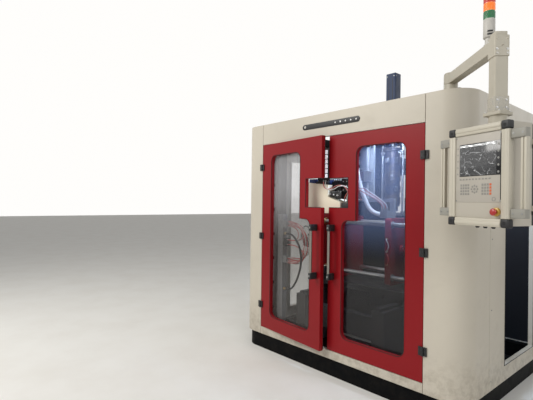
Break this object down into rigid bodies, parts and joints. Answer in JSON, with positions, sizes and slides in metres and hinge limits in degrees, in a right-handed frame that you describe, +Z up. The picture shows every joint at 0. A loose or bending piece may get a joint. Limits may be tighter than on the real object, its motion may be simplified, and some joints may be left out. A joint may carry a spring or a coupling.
{
  "type": "blow moulding machine",
  "caption": "Guarded single-station machine that clamps a hanging plastic tube in a mould and blows it up, with hinged doors and a swivelling control panel.",
  "frame": {"origin": "centre of the four floor anchor holes, at floor level", "axes": "+X to the right along the front wall, +Y from the front wall towards the extruder, +Z up"},
  "size_m": [2.9293, 4.0512, 2.92],
  "materials": {
    "guard_paint": "satin powder coat",
    "frame_black": "satin",
    "door_red": "gloss powder coat",
    "clamp_red": "satin",
    "black_plastic": "fine texture",
    "clear_pane": "clear polycarbonate",
    "steel_tube": "brushed",
    "bright_steel": "polished",
    "arm_paint": "satin powder coat",
    "panel_alu": "anodised",
    "panel_grey": "satin",
    "keypad": "printed membrane",
    "screen_black": "gloss",
    "signal_grey": "satin",
    "signal_green": "ribbed lens",
    "signal_amber": "ribbed lens",
    "signal_red": "ribbed lens",
    "stop_yellow": "gloss",
    "stop_red": "gloss",
    "machine_grey": "satin",
    "steel_grey": "satin",
    "actuator_blue": "satin",
    "head_steel": "machined and heat-stained",
    "cover_cream": "satin",
    "hose_white": "ribbed",
    "hopper_steel": "brushed sheet"
  },
  "bodies": {
    "machine": {"base_frame": "frame_black", "enclosure_posts": "frame_black", "roof_frame": "frame_black", "header_panel": "guard_paint", "sill_panel": "guard_paint", "left_corner_panel": "guard_paint", "right_corner_panel": "guard_paint", "left_side_panel": "guard_paint", "right_side_panel": "guard_paint", "rear_panels": "guard_paint", "name_plate": "black_plastic", "frame_hinge_leaves": "black_plastic", "arm_base": "arm_paint", "machine_bed": "machine_grey", "die_head": "head_steel", "parison_actuator": "actuator_blue", "hanger_rods": "bright_steel", "blow_frame": "steel_grey", "blow_cover": "cover_cream", "valve_block": "black_plastic", "service_column": "steel_grey", "extruder_stand": "machine_grey", "gearbox": "machine_grey", "barrel": "head_steel", "hopper": "hopper_steel", "motor": "machine_grey", "ribbed_hose": "hose_white"},
    "left_door_leaf": {"left_door": "door_red", "left_window": "clear_pane", "left_handle": "steel_tube", "left_hinge_leaves": "black_plastic"},
    "right_door_leaf": {"right_door": "door_red", "right_window": "clear_pane", "right_handle": "steel_tube", "right_hinge_leaves": "black_plastic"},
    "arm": {"support_arm": "arm_paint", "arm_head": "arm_paint", "drop_tube": "arm_paint", "lamp_base": "signal_grey", "lamp_green": "signal_green", "lamp_amber": "signal_amber", "lamp_red": "signal_red"},
    "panel": {"panel_coupling": "arm_paint", "panel_housing": "panel_grey", "panel_frame": "panel_alu", "panel_fascia": "keypad", "panel_screen": "screen_black", "panel_grips": "panel_alu", "stop_collar": "stop_yellow"},
    "rear_cover": {"panel_rear_cover": "black_plastic"},
    "stop": {"stop_button": "stop_red"},
    "mould_carriage": {"carriage": "machine_grey", "clamp_end_plates": "clamp_red", "tie_bars": "bright_steel", "clamp_cylinders": "machine_grey"},
    "left_clamp": {"left_platen": "clamp_red"},
    "right_clamp": {"right_platen": "clamp_red"},
    "mandrel": {"die_mandrel": "bright_steel"},
    "blow_unit": {"blow_slide": "bright_steel"},
    "lid": {"hopper_lid": "hopper_steel"}
  },
  "joints": [
    {"name": "left_door_hinge", "type": "hinge", "parent": "machine", "child": "left_door_leaf", "pos_m": [-0.905, -0.962, 0], "axis": [0, 0, -1], "range_deg": [-6, 99]},
    {"name": "right_door_hinge", "type": "hinge", "parent": "machine", "child": "right_door_leaf", "pos_m": [0.905, -0.962, 0], "axis": [0, 0, 1], "range_deg": [0, 105]},
    {"name": "arm_swivel", "type": "hinge", "parent": "machine", "child": "arm", "pos_m": [0.98, -0.71, 2.45], "axis": [0, 0, 1], "range_deg": [-10, 50]},
    {"name": "panel_swivel", "type": "hinge", "parent": "arm", "child": "panel", "pos_m": [1.48354, -1.19626, 2.05], "axis": [0, 0, 1], "range_deg": [-45, 45]},
    {"name": "rear_cover_hinge", "type": "hinge", "parent": "panel", "child": "rear_cover", "pos_m": [1.68081, -1.23457, 1.7], "axis": [0, 0, -1], "range_deg": [0, 110]},
    {"name": "stop_press", "type": "slide", "parent": "panel", "child": "stop", "axis": [0.3256, 0.9455, 0], "range_m": [0, 0.005]},
    {"name": "carriage_shuttle", "type": "slide", "parent": "machine", "child": "mould_carriage", "axis": [0, 1, 0], "range_m": [-0.3, 0.33]},
    {"name": "left_platen_slide", "type": "slide", "parent": "mould_carriage", "child": "left_clamp", "axis": [1, 0, 0], "range_m": [-0.135, 0.13]},
    {"name": "right_platen_slide", "type": "slide", "parent": "mould_carriage", "child": "right_clamp", "axis": [1, 0, 0], "range_m": [-0.13, 0.135]},
    {"name": "mandrel_slide", "type": "slide", "parent": "machine", "child": "mandrel", "axis": [0, 0, 1], "range_m": [-0.008, 0.01]},
    {"name": "blow_pin_slide", "type": "slide", "parent": "machine", "child": "blow_unit", "axis": [0, 0, -1], "range_m": [0, 0.14]},
    {"name": "lid_hinge", "type": "hinge", "parent": "machine", "child": "lid", "pos_m": [0, 1.873, 2.736], "axis": [-1, 0, 0], "range_deg": [0, 100]}
  ],
  "couplings": [
    {"joint": "right_platen_slide", "follows": "left_platen_slide", "ratio": -1}
  ]
}
